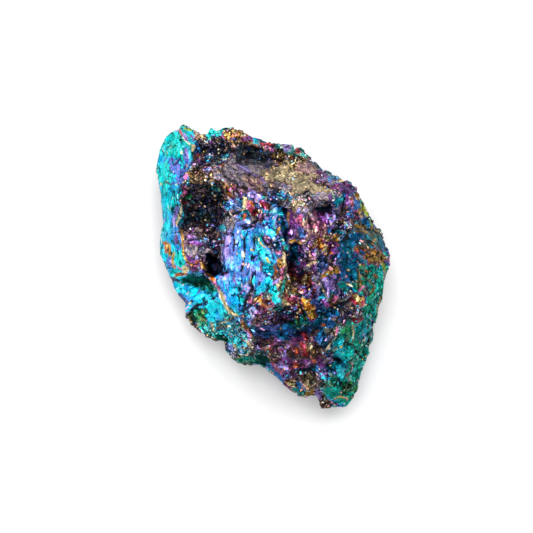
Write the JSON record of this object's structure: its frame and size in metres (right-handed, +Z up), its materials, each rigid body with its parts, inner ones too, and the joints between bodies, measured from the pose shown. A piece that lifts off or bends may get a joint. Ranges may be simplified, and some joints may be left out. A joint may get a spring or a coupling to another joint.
{
  "type": "peacock ore",
  "caption": "Rough lozenge-shaped lump of peacock ore, a tarnished copper mineral, with rainbow-coloured fracture faces, lying on a small flat foot.",
  "frame": {"origin": "on the resting face, under the middle of the stone's bounding box", "axes": "+Y the stone's long way, towards its spur end; +X across it; +Z up from the resting face, the shortest way, towards the viewer of the picture"},
  "size_m": [0.0374, 0.0456, 0.022],
  "materials": {
    "tarnished_ore": "metallic iridescent tarnish: turquoise, blue, violet, magenta and gold over dull brown-grey ore"
  },
  "bodies": {
    "root": {"peacock_ore": "tarnished_ore"}
  },
  "joints": []
}
